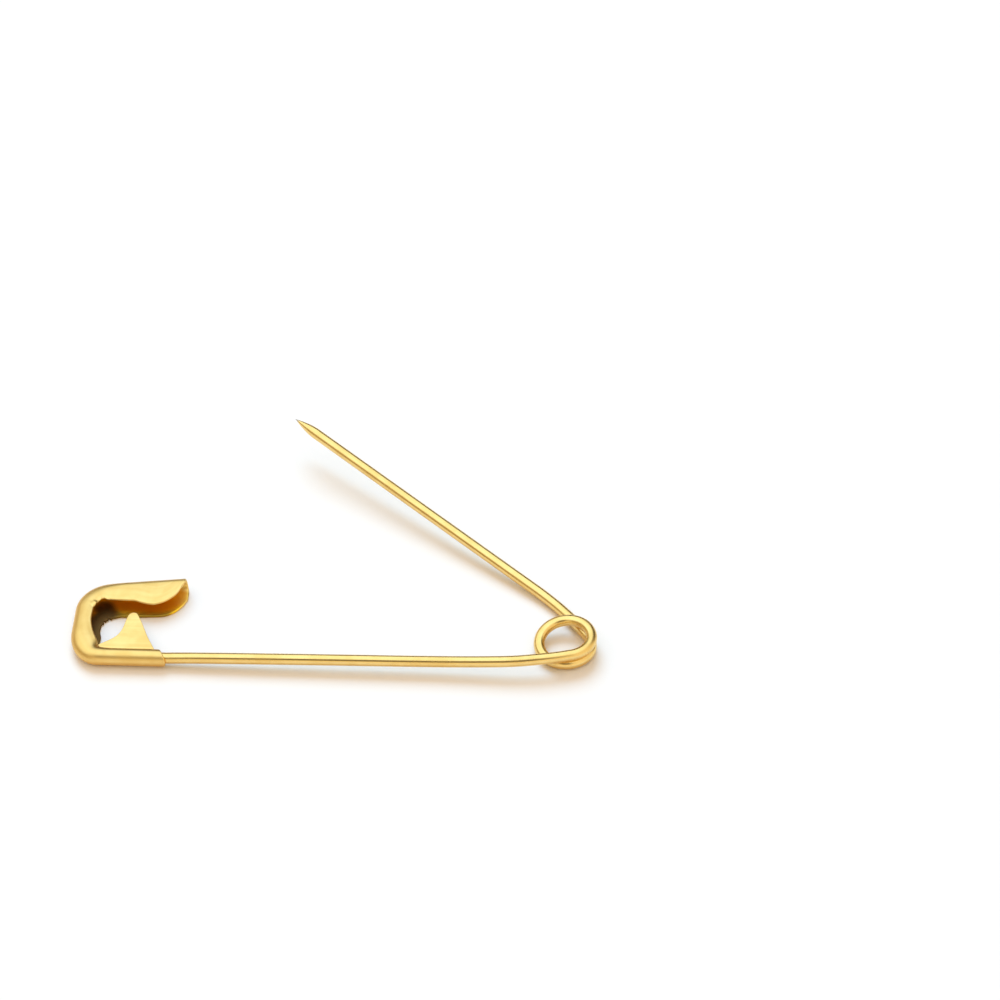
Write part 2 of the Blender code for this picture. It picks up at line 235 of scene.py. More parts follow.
@dataclass
class Nodes:
    """A small helper that adds nodes to one node tree, in rows from left to right."""

    tree: bpy.types.NodeTree
    count: int = 0
    row_length: int = 12
    spacing: tuple[int, int] = (180, -220)

    def add(self, kind: str, settings: dict[str, object] | None = None,
            **inputs: object) -> bpy.types.Node:
        """Add a node, set it up and link or fill its inputs.

        Args:
            kind: The node's type name.
            settings: Properties of the node itself.
            **inputs: The inputs, as put() takes them.

        Returns:
            The new node.
        """
        node = self.tree.nodes.new(kind)
        row, column = divmod(self.count, self.row_length)
        node.location = (self.spacing[0] * column, self.spacing[1] * row)
        self.count += 1
        for key, value in (settings or {}).items():
            setattr(node, key, value)
        return self.put(node, **inputs)

    def put(self, node: bpy.types.Node, **inputs: object) -> bpy.types.Node:
        """Link or fill a node's inputs.

        Args:
            node: The node.
            **inputs: For each input, its name with underscores or in_N for input N, and either
                an output socket to link or a plain value. A colour is given without its alpha.

        Returns:
            The same node.
        """
        for key, value in inputs.items():
            number = key.removeprefix("in_")
            socket = node.inputs[int(number) if number.isdigit() else key.replace("_", " ")]
            if isinstance(value, Socket):
                self.tree.links.new(value, socket)
            else:
                socket.default_value = (*value, 1.0) if socket.type == "RGBA" else value
        return node

    def math(self, operation: str, *values: object) -> Socket:
        """Add a Math node on these values and return its output."""
        inputs = {f"in_{i}": value for i, value in enumerate(values)}
        return self.add("ShaderNodeMath", {"operation": operation}, **inputs).outputs[0]

    def ramp(self, value: object, low: float, high: float) -> Socket:
        """Ease a value to 0 at one end of a range and to 1 at the other."""
        return self.add("ShaderNodeMapRange", {"interpolation_type": "SMOOTHSTEP"}, in_0=value,
                        in_1=low, in_2=high, in_3=0.0, in_4=1.0).outputs[0]

    def blend(self, factor: object, first: object, second: object) -> Socket:
        """Mix two colours by a factor and return the colour."""
        return self.add("ShaderNodeMix", {"data_type": "RGBA"}, in_0=factor, in_6=first,
                        in_7=second).outputs[2]

    def noise(self, place: Socket, detail: float, roughness: float, scale: float = 1.0) -> Socket:
        """Add a noise texture at a place and return its value."""
        return self.add("ShaderNodeTexNoise", Vector=place, Scale=scale, Detail=detail,
                        Roughness=roughness).outputs[0]

    def attribute(self, name: str, output: str = "Fac") -> Socket:
        """Read one of the mesh's own attributes."""
        return self.add("ShaderNodeAttribute", {"attribute_name": name}).outputs[output]

    def group(self, tree: bpy.types.NodeTree, **inputs: object) -> bpy.types.Node:
        """Place a shared group with its own values."""
        return self.add("ShaderNodeGroup", {"node_tree": tree}, **inputs)


VALUE, VECTOR, COLOUR = "NodeSocketFloat", "NodeSocketVector", "NodeSocketColor"


def new_group(name: str, inputs: dict[str, str],
              outputs: dict[str, str]) -> tuple[Nodes, bpy.types.Node, bpy.types.Node]:
    """Make an empty shader node group with named sockets.

    Args:
        name: The group's name.
        inputs: Socket types by input name.
        outputs: Socket types by output name.

    Returns:
        A helper that fills the group, the group's input node and its output node.
    """
    group = bpy.data.node_groups.new(name, "ShaderNodeTree")
    for in_out, sockets in (("INPUT", inputs), ("OUTPUT", outputs)):
        for key, kind in sockets.items():
            group.interface.new_socket(key, in_out=in_out, socket_type=kind)
    nodes = Nodes(group)
    return nodes, nodes.add("NodeGroupInput"), nodes.add("NodeGroupOutput")


def build_grain_group() -> bpy.types.NodeTree:
    """Build the drawn lines: noise stretched along X, as a height and as broad streaks.

    The height is a weighed sum of fine lines and of broad ones, which are the streaks too.

    Returns:
        A group that takes a place in millimetres and gives Height and Streak, each from 0 to 1.
    """
    broad_scale, fine_weight, broad_weight = 0.27, 0.65, 0.35
    streak_range = (0.3, 0.7)
    inputs = {"Place": VECTOR, "Along": VALUE, "Across": VALUE}
    nodes, source, sink = new_group("drawn_grain", inputs, {"Height": VALUE, "Streak": VALUE})
    along, across = source.outputs["Along"], source.outputs["Across"]
    stretch = nodes.add("ShaderNodeCombineXYZ", X=along, Y=across, Z=across).outputs[0]
    fine_place = nodes.add("ShaderNodeVectorMath", {"operation": "MULTIPLY"},
                           in_0=source.outputs["Place"], in_1=stretch).outputs[0]
    broad_place = nodes.add("ShaderNodeVectorMath", {"operation": "SCALE"}, in_0=fine_place,
                            Scale=broad_scale).outputs[0]
    fine = nodes.noise(fine_place, detail=3.0, roughness=0.62)
    broad = nodes.noise(broad_place, detail=2.0, roughness=0.5)
    height = nodes.math("MULTIPLY_ADD", fine, fine_weight,
                        nodes.math("MULTIPLY", broad, broad_weight))
    nodes.put(sink, Height=height, Streak=nodes.ramp(broad, *streak_range))
    return nodes.tree


def build_plating_and_shade_group() -> bpy.types.NodeTree:
    """Build the gold's colour: mottled, streaked, deeper at cut edges, with painted hollow shade.

    Returns:
        A group that mixes its four colours by its masks and gives Color and Mottle. Shade is a
        painted shade mask, from the open sheet at 0 over the hollow at a half to the dark corner
        at 1, and Hollow and Dark are the painted shade's colours.
    """
    streak_weight, mottle_weight, edge_weight = 0.30, 0.35, 0.8
    cloud_scale, mottle_range = 0.55, (0.32, 0.68)
    inputs = {"Place": VECTOR, "Streak": VALUE, "Shade": VALUE, "Edge": VALUE,
              "Bright": COLOUR, "Deep": COLOUR, "Hollow": COLOUR, "Dark": COLOUR}
    nodes, source, sink = new_group("gold_plating", inputs, {"Color": COLOUR, "Mottle": VALUE})
    given = source.outputs
    cloud = nodes.noise(given["Place"], detail=3.0, roughness=0.55, scale=cloud_scale)
    mottle = nodes.ramp(cloud, *mottle_range)
    tone = nodes.math("MULTIPLY_ADD", given["Streak"], streak_weight,
                      nodes.math("MULTIPLY", mottle, mottle_weight))
    plain = nodes.blend(tone, given["Bright"], given["Deep"])
    # Edge: darker gold at cut edges, and on the cap's outer wall the painted fold shade.
    edge = nodes.math("MULTIPLY", given["Edge"], edge_weight)
    edged = nodes.blend(edge, plain, given["Deep"])
    # Painted shade: the hollow's amber and then the corner's near black, mixed in by the shade
    # mask.
    hollow = nodes.blend(nodes.ramp(given["Shade"], 0.0, 0.5), edged, given["Hollow"])
    colour = nodes.blend(nodes.ramp(given["Shade"], 0.5, 1.0), hollow, given["Dark"])
    nodes.put(sink, Color=colour, Mottle=mottle)
    return nodes.tree


def build_satin_group() -> bpy.types.NodeTree:
    """Build the satin's roughness: a base value, rougher in streaks, mottles and hollows.

    Returns:
        A group that gives Roughness.
    """
    weights = {"Streak": 0.06, "Mottle": 0.05, "Shade": 0.12}
    inputs = dict.fromkeys(("Base", *weights), VALUE)
    nodes, source, sink = new_group("satin_roughness", inputs, {"Roughness": VALUE})
    roughness = source.outputs["Base"]
    for mask, weight in weights.items():
        roughness = nodes.math("MULTIPLY_ADD", source.outputs[mask], weight, roughness)
    nodes.put(sink, Roughness=roughness)
    return nodes.tree


@dataclass(frozen=True)
class GroupSet:
    """The shader groups that every finish shares."""

    grain: bpy.types.NodeTree
    plating: bpy.types.NodeTree
    satin: bpy.types.NodeTree

    @classmethod
    def build(cls) -> "GroupSet":
        """Build the three groups once."""
        return cls(build_grain_group(), build_plating_and_shade_group(), build_satin_group())


@dataclass(frozen=True)
class GoldFinish:
    """One gold-plated finish."""

    name: str
    follows: GrainFollows
    bright: Rgb = (0.90, 0.65, 0.25)
    deep: Rgb = (0.78, 0.49, 0.135)
    # Hollow and dark are painted shade colours, for the cap's channel and its pinched corner.
    hollow: Rgb = (0.98, 0.60, 0.03)
    dark: Rgb = (0.15, 0.085, 0.028)
    steel: Rgb = (0.45, 0.42, 0.40)
    roughness: float = 0.20
    grain_along: float = 0.25
    grain_across: float = 9.0
    grain_height: float = 0.0016 * MM
    steel_tip: bool = False

    def material(self, groups: GroupSet) -> bpy.types.Material:
        """Build the material.

        Args:
            groups: The shared shader groups.

        Returns:
            A Principled metal whose colour, roughness and normal come from the groups.
        """
        material = bpy.data.materials.new(self.name)
        material.use_nodes = True
        nodes = Nodes(material.node_tree)
        # The shade attribute is a painted shade mask, which only the cap carries.
        place, shade = self.place_in_mm(nodes), nodes.attribute("shade")
        grain = nodes.group(groups.grain, Place=place, Along=self.grain_along,
                            Across=self.grain_across)
        streak = grain.outputs["Streak"]
        plating = nodes.group(groups.plating, Place=place, Streak=streak, Shade=shade,
                              Edge=nodes.attribute("edge"), Bright=self.bright, Deep=self.deep,
                              Hollow=self.hollow, Dark=self.dark)
        satin = nodes.group(groups.satin, Base=self.roughness, Streak=streak, Shade=shade,
                            Mottle=plating.outputs["Mottle"])
        bump = nodes.add("ShaderNodeBump", Strength=1.0, Distance=self.grain_height,
                         Height=grain.outputs["Height"])
        colour = plating.outputs["Color"]
        if self.steel_tip:
            colour = nodes.blend(nodes.attribute("bare"), colour, self.steel)
        nodes.put(material.node_tree.nodes["Principled BSDF"], Base_Color=colour, Metallic=1.0,
                  Roughness=satin.outputs["Roughness"], Normal=bump.outputs["Normal"])
        return material

    def place_in_mm(self, nodes: Nodes) -> Socket:
        """Find the place that the grain reads: the bent sheet's or wire's, or the object's.

        Args:
            nodes: The material's helper.

        Returns:
            The place in millimetres.
        """
        if self.follows is GrainFollows.BEND:
            return nodes.attribute("unbent", "Vector")
        source = nodes.add("ShaderNodeTexCoord").outputs["Object"]
        return nodes.add("ShaderNodeMapping", Vector=source, Scale=(1.0 / MM,) * 3).outputs[0]


# How the fixed arm climbs to the coil: shares of its free length and of the climb.
ARM_CLIMB = ((0.0, 0.0), (0.086, 0.13), (0.449, 0.37), (0.811, 0.56), (0.933, 0.69), (1.0, 0.80),
             (1.12, 1.0))


@dataclass(frozen=True)
class Wire:
    """The one length of wire, with the part's sizes: fixed arm, coil, leg and needle."""

    drawing: Drawing
    pin_length: float = 54.0 * MM
    diameter: float = 1.15 * MM
    coil_inner_diameter: float = 4.17 * MM
    layer_gap: float = 0.04 * MM
    arm_offset: float = 0.95 * MM
    needle_offset: float = 1.2 * MM
    lead_radius: float = 28.0 * MM
    fall_start: float = math.radians(120)
    fall_end: float = math.radians(325)
    open_angle: float = math.radians(40.2)
    needle_length: float = 42.5 * MM
    needle_rise: float = math.radians(4.9)
    rise_run: float = 6.0 * MM
    leg_length: float = 2.2 * MM
    arm_start: float = 4.6 * MM
    crimp_end: float = 10.3 * MM
    crimp_height: float = 0.875 * MM
    point_length: float = 3.1 * MM
    point_fullness: float = 1.7
    point_blunt: float = 0.03
    bare_length: float = 0.9 * MM
    bend_length: float = 12.0 * MM
    ring_step: float = 0.07 * MM
    least_rings: int = 8
    sides: int = 40
    sharp_angle: float = math.radians(50)

    @property
    def radius(self) -> float:
        """Half the wire's diameter."""
        return self.diameter / 2

    @property
    def coil_radius(self) -> float:
        """The radius of the coil's centre line."""
        return (self.coil_inner_diameter + self.diameter) / 2

    @property
    def coil_centre(self) -> Array:
        """The coil's axis in the drawing's plan."""
        x = self.pin_length - self.coil_radius - self.radius
        return np.array([x, self.coil_radius + self.arm_offset])

    @property
    def top(self) -> float:
        """The height of the coil's upper layer."""
        return self.radius + self.diameter + self.layer_gap

    def lead_turn(self, offset: float, run: float) -> float:
        """Return how far a lead turns between an arm set off from the coil and a straight run."""
        reach = self.lead_radius - self.coil_radius
        return math.acos((reach - offset) / math.hypot(reach, run)) - math.atan2(run, reach)

    @property
    def legs(self) -> tuple[Array, Array, Array]:
        """The path's six stretches from the arm's start, straight ones and arcs by turns.

        They are the arm, its lead into the coil, the coil, a straight run of one diameter, the
        lead out of the coil and the needle.

        Returns:
            Their lengths, how far the wire has turned where each starts, and their own turns.
        """
        needle_turn = 3.0 * math.pi - self.open_angle
        lead_in = self.lead_turn(self.arm_offset, 0.0)
        lead_out = needle_turn - self.lead_turn(self.needle_offset, self.diameter)
        lead_x = self.coil_centre[0] - (self.lead_radius - self.coil_radius) * math.sin(lead_in)
        last = needle_turn - lead_out
        used = self.lead_radius * last + self.diameter
        foot = self.coil_centre + (self.coil_radius + self.needle_offset) * outward(needle_turn)
        exit_point = self.coil_centre + self.coil_radius * outward(lead_out)
        leg = exit_point + self.diameter * facing(lead_out)
        centre = leg - self.lead_radius * outward(lead_out)
        straight_from = centre + self.lead_radius * outward(needle_turn)
        tip = foot + self.needle_length * facing(needle_turn)
        straight = float((tip - straight_from) @ facing(needle_turn))
        lengths = [lead_x - self.arm_start, self.lead_radius * lead_in,
                   self.coil_radius * (lead_out - lead_in), self.diameter,
                   used - self.diameter, straight]
        turned = [0.0, lead_in, lead_out - lead_in, 0.0, last, 0.0]
        first = np.concatenate([[0.0], np.cumsum(turned)[:-1]])
        return np.array(lengths), first, np.array(turned)

    def plan(self, run: Array) -> tuple[Array, Array]:
        """Read the path's plan.

        Each stretch is straight or an arc, so a point on it lies one chord from its start: the
        run times the sinc of half the turn, in the direction of the middle turn.

        Args:
            run: Distances from the arm's start.

        Returns:
            The points, and how far the wire has turned at each.
        """
        lengths, first, turned = self.legs
        starts = np.concatenate([[0.0], np.cumsum(lengths)])
        chords = self.chord(lengths, first, turned)
        corners = np.concatenate([[[0.0, 0.0]], np.cumsum(chords, axis=0)])
        corners = corners + np.array([self.arm_start, 0.0])
        index = np.clip(np.searchsorted(starts, run, side="right") - 1, 0, len(lengths) - 1)
        within = run - starts[index]
        partial = turned[index] * within / lengths[index]
        return corners[index] + self.chord(within, first[index], partial), first[index] + partial

    @staticmethod
    def chord(length: Array, first: Array, turned: Array) -> Array:
        """Return the vector from the start to the end of an arc of this length and turn."""
        shrink = np.sinc(turned / (2.0 * math.pi))
        return (length * shrink)[:, None] * facing(first + turned / 2.0)

    def height(self, run: Array, turn: Array) -> Array:
        """Read the centre line's height.

        The arm climbs from the crimp on a monotone cubic curve, the coil falls one layer by
        smoothstep, and the needle rises at a slope that grows evenly from nothing at the pivot.

        Args:
            run: Distances from the arm's start.
            turn: How far the wire has turned there.

        Returns:
            The heights.
        """
        lengths = self.legs[0]
        crimped = self.crimp_end - self.arm_start
        climb = np.array(ARM_CLIMB)
        share = np.clip((run - crimped) / (lengths[0] - crimped), 0.0, climb[-1, 0])
        climbed = through_points(climb[:, 0], climb[:, 1:], share)[:, 0]
        arm = self.crimp_height + (self.top - self.crimp_height) * climbed
        fall = smoothstep((turn - self.fall_start) / (self.fall_end - self.fall_start))
        coil = self.top + (self.radius - self.top) * fall
        past = np.clip(run - self.pivot_run, 0.0, None)
        ramp = np.minimum(past, self.rise_run)
        rise = math.tan(self.needle_rise) * (past - ramp + ramp ** 2 / (2.0 * self.rise_run))
        return np.where(run < lengths[:2].sum(), arm, coil) + rise

    @property
    def pivot_run(self) -> float:
        """The distance along the wire to the pivot, where the needle begins."""
        return float(self.legs[0][:4].sum()) + self.leg_length

    def run_at_turn(self, turn: float) -> float:
        """Return the distance at which the coil has turned this far."""
        lengths, first, _ = self.legs
        return float(lengths[:2].sum()) + self.coil_radius * (turn - float(first[2]))

    def centre_line(self, run: Array) -> Array:
        """Return the centre line's points in the frame."""
        plan, turn = self.plan(run)
        return self.drawing.place(with_height(plan, self.height(run, turn)))

    def tube(self, name: str, start: float, end: float, pointed: bool = False) -> bpy.types.Object:
        """Carry the round section along a stretch of the path.

        A ring's points are the centre plus the radius times (cos a side + sin a up). Side is
        level and square to the path, and up is square to both. Poles close both ends.

        Args:
            name: The piece's name.
            start: Where the stretch starts along the wire.
            end: Where it ends.
            pointed: Whether the far end is ground to a point.

        Returns:
            The new object.
        """
        steps = max(int((end - start) / self.ring_step), self.least_rings)
        run = np.linspace(start, end, steps + 1)
        centre = self.centre_line(run)
        radius = np.full(len(run), self.radius)
        if pointed:
            share = np.clip(1.0 - (end - run) / self.point_length, 0.0, 1.0)
            radius = radius * np.maximum(1.0 - share ** self.point_fullness, self.point_blunt)
        along = unit(np.gradient(centre, run, axis=0))
        side = unit(np.cross(along, UP))
        rise = np.cross(side, along)
        angle = np.linspace(0.0, 2.0 * math.pi, self.sides, endpoint=False)
        spread = (np.cos(angle)[:, None] * side[:, None, :]
                  + np.sin(angle)[:, None] * rise[:, None, :])
        rings = centre[:, None, :] + radius[:, None, None] * spread
        vertices = np.concatenate([rings.reshape(-1, 3), centre[[0, -1]]])
        unbent = np.stack([
            np.repeat(run[:, None], self.sides, axis=1),
            radius[:, None] * np.cos(angle),
            radius[:, None] * np.sin(angle),
        ], axis=-1).reshape(-1, 3)
        poles = np.array([[run[0], 0.0, 0.0], [run[-1], 0.0, 0.0]])
        values = {"unbent": np.concatenate([unbent, poles]) / MM}
        if pointed:
            from_tip = end - values["unbent"][:, 0] * MM
            values["bare"] = 1.0 - smoothstep(from_tip / self.bare_length)
        faces = tube_faces(len(run), self.sides)
        return make_object(name, vertices, faces, self.sharp_angle, values)

    def build(self, groups: GroupSet) -> list[bpy.types.Object]:
        """Build the four stretches of the wire, and join the arm and the lower turn to their
        bodies.

        Args:
            groups: The shared shader groups.

        Returns:
            The four pieces, from the crimp to the needle's point.
        """
        gold = GoldFinish("drawn_gold_wire", GrainFollows.BEND)
        ground = GoldFinish("ground_gold_needle", GrainFollows.BEND, steel_tip=True)
        right, left = self.run_at_turn(math.pi / 2), self.run_at_turn(3 * math.pi / 2)
        tip = float(self.legs[0].sum())
        axis = self.drawing.place(np.array([*self.coil_centre, 0.0]))

        arm = self.tube("fixed_arm_wire", 0.0, right)
        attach(arm, "cap_and_coil")
        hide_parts("fixed_arm")
        loop = self.tube("coil_far_turn", right, left)
        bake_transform(loop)
        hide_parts("spring_coil")
        last = self.tube("coil_lower_turn", left, self.pivot_run)
        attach(last, "coil_leg")
        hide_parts("spring_coil", "spring_leg")
        needle = self.tube("needle_wire", self.pivot_run, tip, pointed=True)
        bend = self.centre_line(np.array([self.pivot_run, self.pivot_run + self.bend_length]))
        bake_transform(needle)
        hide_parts("needle_arm")
        drawn, pointed = gold.material(groups), ground.material(groups)
        pieces = [arm, loop, last, needle]
        for piece, material in zip(pieces, (drawn, drawn, drawn, pointed)):
            piece.data.materials.append(material)
        return pieces


class CapPart(Enum):
    """The parts of the cap's U path, from the mouth round to the crimp's end."""

    NEEDLE_LEG = 0
    NEEDLE_CORNER = 1
    SIDE = 2
    CRIMP_CORNER = 3
    CRIMP_LEG = 4


# Each row gives the part of the U path, the share of that part, and the front and the back leaf's
# edge as shares of the cap's length and spread.
EDGE_SHARES = (
    (CapPart.NEEDLE_LEG, 0.00, 0.970, 1.125, 1.000, 1.045),
    (CapPart.NEEDLE_LEG, 0.08, 0.945, 1.000, 0.957, 0.920),
    (CapPart.NEEDLE_LEG, 0.21, 0.858, 0.868, 0.877, 0.803),
    (CapPart.NEEDLE_LEG, 0.31, 0.779, 0.808, 0.798, 0.753),
    (CapPart.NEEDLE_LEG, 0.41, 0.715, 0.786, 0.719, 0.742),
    (CapPart.NEEDLE_LEG, 0.54, 0.618, 0.808, 0.623, 0.736),
    (CapPart.NEEDLE_LEG, 0.65, 0.544, 0.836, 0.544, 0.730),
    (CapPart.NEEDLE_LEG, 0.84, 0.417, 0.837, 0.439, 0.725),
    (CapPart.NEEDLE_LEG, 1.00, 0.325, 0.842, 0.368, 0.697),
    (CapPart.NEEDLE_CORNER, 0.34, 0.252, 0.838, 0.316, 0.669),
    (CapPart.NEEDLE_CORNER, 0.67, 0.211, 0.757, 0.286, 0.629),
    (CapPart.NEEDLE_CORNER, 1.00, 0.190, 0.668, 0.264, 0.562),
    (CapPart.SIDE, 0.48, 0.189, 0.534, 0.261, 0.483),
    (CapPart.SIDE, 0.96, 0.212, 0.371, 0.279, 0.370),
    (CapPart.CRIMP_CORNER, 0.33, 0.247, 0.250, 0.272, 0.262),
)

# The stations where the cap closes round the wire: the part and its share, the lip's depth as a
# share of the closed lip's, and the share of the closed curl.
CRIMP_SHARES = (
    (CapPart.CRIMP_CORNER, 0.66, 1.90, 0.30),
    (CapPart.CRIMP_CORNER, 0.84, 1.52, 0.60),
    (CapPart.CRIMP_LEG, 0.00, 1.38, 0.76),
    (CapPart.CRIMP_LEG, 0.06, 1.26, 0.88),
    (CapPart.CRIMP_LEG, 0.12, 1.14, 0.96),
    (CapPart.CRIMP_LEG, 0.19, 1.04, 1.00),
    (CapPart.CRIMP_LEG, 0.28, 1.00, 1.00),
    (CapPart.CRIMP_LEG, 1.00, 1.00, 1.00),
)

# The guard tongue's outline as shares of its width and height, from its foot at the closed end.
TONGUE_SHARES = (
    (0.21, 0.000), (0.10, 0.030), (0.01, 0.095), (0.09, 0.165), (0.181, 0.232), (0.252, 0.292),
    (0.308, 0.350), (0.350, 0.415), (0.375, 0.475), (0.408, 0.580), (0.428, 0.690), (0.445, 0.795),
    (0.462, 0.885), (0.485, 0.950), (0.520, 0.988), (0.560, 1.004), (0.600, 0.998), (0.635, 0.955),
    (0.663, 0.890), (0.705, 0.798), (0.784, 0.584), (0.861, 0.371), (0.953, 0.160),
    (0.990, 0.080), (1.03, 0.000),
)


@dataclass(frozen=True)
class Cap:
    """The folded sheet cap, with the part's sizes."""

    drawing: Drawing
    length: float = 11.4 * MM
    spread: float = 8.9 * MM
    tilt: float = math.radians(7.5)
    sheet: float = 0.27 * MM
    wire_radius: float = 0.575 * MM
    channel_clearance: float = 0.105 * MM
    fit_gap: float = 0.03 * MM
    needle_corner_radius: float = 2.8 * MM
    crimp_corner_width: float = 2.1 * MM
    crimp_corner_height: float = 3.2 * MM
    crimp_length: float = 10.3 * MM
    crimp_slant: float = 0.4 * MM
    slant_reach: float = 2.0
    crimp_curl: float = math.radians(75)
    least_curl: float = 1e-4
    station_step: float = 0.11 * MM
    rim_steps: int = 5
    fold_steps: int = 26
    leaf_steps: int = 24
    sharp_angle: float = math.radians(70)
    left_inset: float = 0.24 * MM
    pillow: float = 0.45 * MM
    pillow_from: float = 0.80
    pillow_ease: float = 3.0 * MM
    pillow_curl: float = math.radians(13)
    leaf_curl: float = math.radians(9)
    mouth_slant: float = 0.28 * MM
    mouth_reach: float = 3.5 * MM
    ragged_front: Ripple = Ripple(3, 1.0 * MM, 0.05 * MM)
    ragged_back: Ripple = Ripple(8, 0.55 * MM, 0.07 * MM)
    corner_from: float = 0.92
    corner_to: float = 0.10
    corner_ease: float = 0.9 * MM
    wrinkles: Ripple = Ripple(21, 1.5 * MM, 0.055 * MM)
    wrinkle_strength: Ripple = Ripple(5, 1.7 * MM)
    wrinkle_base: float = 0.6
    wrinkle_reach: float = 0.50 * MM
    pinch_place: tuple[float, float] = (2.28 * MM, 6.80 * MM)
    pinch_height: float = 0.10 * MM
    pinch_reach: float = 0.38 * MM
    edge_tone: float = 0.3
    edge_reach: float = 0.5
    # Painted shade on the fold's outer flank, stronger where the cap is pillowed.
    fold_shade: float = 0.4
    pillow_shade: float = 0.85
    # Painted shade in the channel: a hollow level, more along a dark line and near the back edge,
    # less at the mouth and cut edges.
    hollow_shade: float = 0.45
    dark_shade: float = 0.55
    dark_line: tuple[tuple[float, float], ...] = (
        (3.05 * MM, 7.5 * MM), (3.4 * MM, 6.8 * MM), (2.4 * MM, 5.4 * MM), (2.3 * MM, 3.4 * MM))
    dark_core: float = 0.35 * MM
    dark_fade: float = 1.6 * MM
    brink_shade: float = 0.38
    brink_reach: float = 1.1 * MM
    mouth_paleness: float = 0.7
    pale_reach: float = 2.2 * MM
    rim_paleness: float = 0.8
    rim_reach: float = 0.12 * MM

    @property
    def half(self) -> float:
        """Half the sheet's thickness."""
        return self.sheet / 2

    @property
    def fold_radius(self) -> float:
        """The radius of the open channel's middle surface."""
        return self.wire_radius + self.channel_clearance + self.half

    @property
    def crimp_radius(self) -> float:
        """The radius of the closed crimp's middle surface."""
        return self.wire_radius + self.fit_gap + self.half

    @property
    def oval(self) -> Array:
        """The oval corner's half axes."""
        return np.array([self.crimp_corner_width, self.crimp_corner_height])

    def corners(self) -> tuple[Array, Array, Array, Array]:
        """Work out the U path: two straight legs and a side, joined by a round and an oval corner.

        The oval quarter's length is taken as pi / 2 times the root mean square of its half axes,
        which is about 1 per cent more than the true one.

        Returns:
            The needle leg's inner end, the two corners' centres and the five parts' lengths.
        """
        side_x = self.fold_radius + self.half + self.left_inset
        bend_x = side_x + self.needle_corner_radius
        leg_x = bend_x - self.needle_corner_radius * math.sin(self.tilt)
        leg_y = self.spread + (leg_x - side_x) * math.tan(self.tilt)
        needle_bend = np.array([bend_x, leg_y - self.needle_corner_radius * math.cos(self.tilt)])
        crimp_bend = np.array([side_x, 0.0]) + self.oval
        lengths = np.array([
            (self.length - leg_x) / math.cos(self.tilt),
            self.needle_corner_radius * (math.pi / 2 - self.tilt),
            needle_bend[1] - crimp_bend[1],
            math.hypot(*self.oval) * math.pi / math.sqrt(8.0),
            self.crimp_length - crimp_bend[0],
        ])
        return np.array([leg_x, leg_y]), needle_bend, crimp_bend, lengths

    def distance(self, part: CapPart, share: float) -> float:
        """Return how far along the U path a share of one of its parts lies."""
        lengths = self.corners()[3]
        return float(lengths[:part.value].sum() + lengths[part.value] * share)

    def path(self, distance: Array) -> tuple[Array, Array]:
        """Read the U path.

        An angle turns evenly along the corners and not at all along the straight parts, so a
        point is its part's start or centre plus a step along or out. The oval corner is a quarter
        ellipse (a cos t, b sin t), whose way out is (cos t / a, sin t / b) at length one.

        Args:
            distance: Distances from the mouth.

        Returns:
            The points, and the directions out of the cap.
        """
        leg_end, needle_bend, crimp_bend, lengths = self.corners()
        starts = np.concatenate([[0.0], np.cumsum(lengths)])
        upper, left, lower = math.pi / 2 + self.tilt, math.pi, 3 * math.pi / 2
        angle = np.interp(distance, starts[1:5], [upper, left, left, lower])
        out = facing(angle)
        along = facing(np.array(upper - math.pi / 2))
        side_x = needle_bend[0] - self.needle_corner_radius
        part = np.clip(np.searchsorted(starts, distance, side="right") - 1, 0, len(lengths) - 1)
        down = needle_bend[1] - (distance - starts[2])
        choices = [
            leg_end + along * (lengths[0] - distance)[:, None],
            needle_bend + self.needle_corner_radius * out,
            np.column_stack([np.full(len(distance), side_x), down]),
            crimp_bend + self.oval * out,
            np.column_stack([crimp_bend[0] + distance - starts[4], np.zeros(len(distance))]),
        ]
        points = np.choose(part[:, None], choices)
        on_oval = part[:, None] == CapPart.CRIMP_CORNER.value
        return points, np.where(on_oval, unit(out / self.oval * MM), out)

    def stations(self) -> Array:
        """Set out the stations along the path, close together at the two cut ends.

        Returns:
            Their distances from the mouth.
        """
        total = float(self.corners()[3].sum())
        rim = self.rim_distances()
        middle = np.linspace(self.half, total - self.half,
                             int((total - 2 * self.half) / self.station_step) + 1)
        return np.concatenate([rim[:-1], middle, total - rim[:-1][::-1]])

    def rim_distances(self) -> Array:
        """Return distances in from a cut edge whose wall then rounds evenly: h (1 - cos a)."""
        angle = np.linspace(0.0, math.pi / 2, self.rim_steps)
        return self.half * (1.0 - np.cos(angle))

    def rim_wall(self, inset: Array) -> Array:
        """Return the half thickness at a distance in from a cut edge, a quarter circle."""
        gap = np.clip(1.0 - inset / self.half, 0.0, 1.0)
        return self.half * np.sqrt(1.0 - gap ** 2)

    def edges(self, places: Array) -> Array:
        """Read the two leaves' edges and how far the cap has closed, at each station.

        Args:
            places: The stations' distances along the path.

        Returns:
            For each, front x and y, back x and y, and the closed share.
        """
        lip = self.crimp_radius * math.sin(self.crimp_curl)
        knots = [self.distance(row[0], row[1]) for row in EDGE_SHARES + CRIMP_SHARES]
        scale = np.array([self.length, self.spread, self.length, self.spread])
        rows = [np.append(np.array(row[2:]) * scale, 0.0) for row in EDGE_SHARES]
        for part, share, lip_share, closed in CRIMP_SHARES:
            point, out = self.path(np.array([self.distance(part, share)]))
            edge = (point - out * lip * lip_share)[0]
            rows.append(np.array([*edge, *edge, closed]))
        return through_points(np.array(knots), np.array(rows), places)

